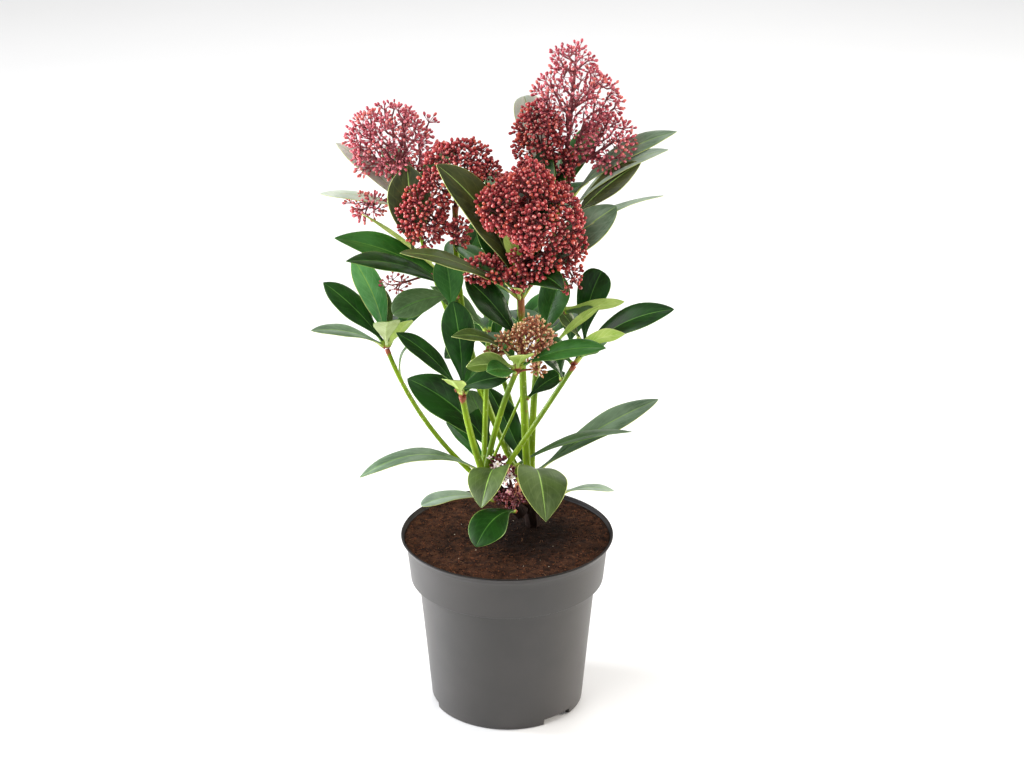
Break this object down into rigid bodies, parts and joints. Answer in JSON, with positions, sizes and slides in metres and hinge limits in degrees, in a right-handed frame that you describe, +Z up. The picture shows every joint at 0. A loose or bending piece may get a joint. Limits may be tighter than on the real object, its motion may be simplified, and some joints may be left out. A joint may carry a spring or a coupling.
{
  "type": "skimmia shrub in a nursery pot",
  "caption": "Small evergreen flowering shrub with upright stems, whorls of glossy leaves and domed panicles of closed red buds, in a round plastic nursery pot.",
  "frame": {"origin": "middle of the pot's flat underside, on the surface that it stands on", "axes": "+Z up along the pot's axis, +X to the plant's right and +Y to its back, as seen from the front"},
  "size_m": [0.2146, 0.1551, 0.414],
  "materials": {
    "pot_plastic": "satin",
    "soil": "matte",
    "bark": "matte",
    "green_stem": "satin",
    "leaf": "satin",
    "bud": "satin",
    "withered_bud": "matte"
  },
  "bodies": {
    "root": {"pot": "pot_plastic", "soil": "soil", "main_stem": "bark", "fork": "bark", "stem_left": "green_stem", "stem_front_left": "green_stem", "stem_front": "green_stem", "stem_mid_left": "green_stem", "stem_centre": "green_stem", "stem_back_right": "green_stem", "stem_right": "green_stem", "stem_upper_left": "green_stem", "stem_back_left": "green_stem", "stem_back": "green_stem", "stem_back_top": "green_stem", "shoot_thin": "green_stem", "leaves_left": "leaf", "leaves_front_left": "leaf", "leaves_front": "leaf", "leaves_mid_left": "leaf", "leaves_centre_low": "leaf", "leaves_centre": "leaf", "leaves_right_low": "leaf", "leaves_right_top": "leaf", "leaves_right": "leaf", "leaves_left_top": "leaf", "leaves_back_left_top": "leaf", "leaves_back": "leaf", "leaves_back_top": "leaf", "leaves_base_left": "leaf", "leaves_base_low": "leaf", "leaves_base_front": "leaf", "leaves_base_right": "leaf", "flowers_left_top": "bud", "flowers_left": "bud", "flowers_front": "bud", "flowers_right": "bud", "flowers_back": "bud", "flowers_small": "withered_bud", "flowers_base": "bud"}
  },
  "joints": []
}
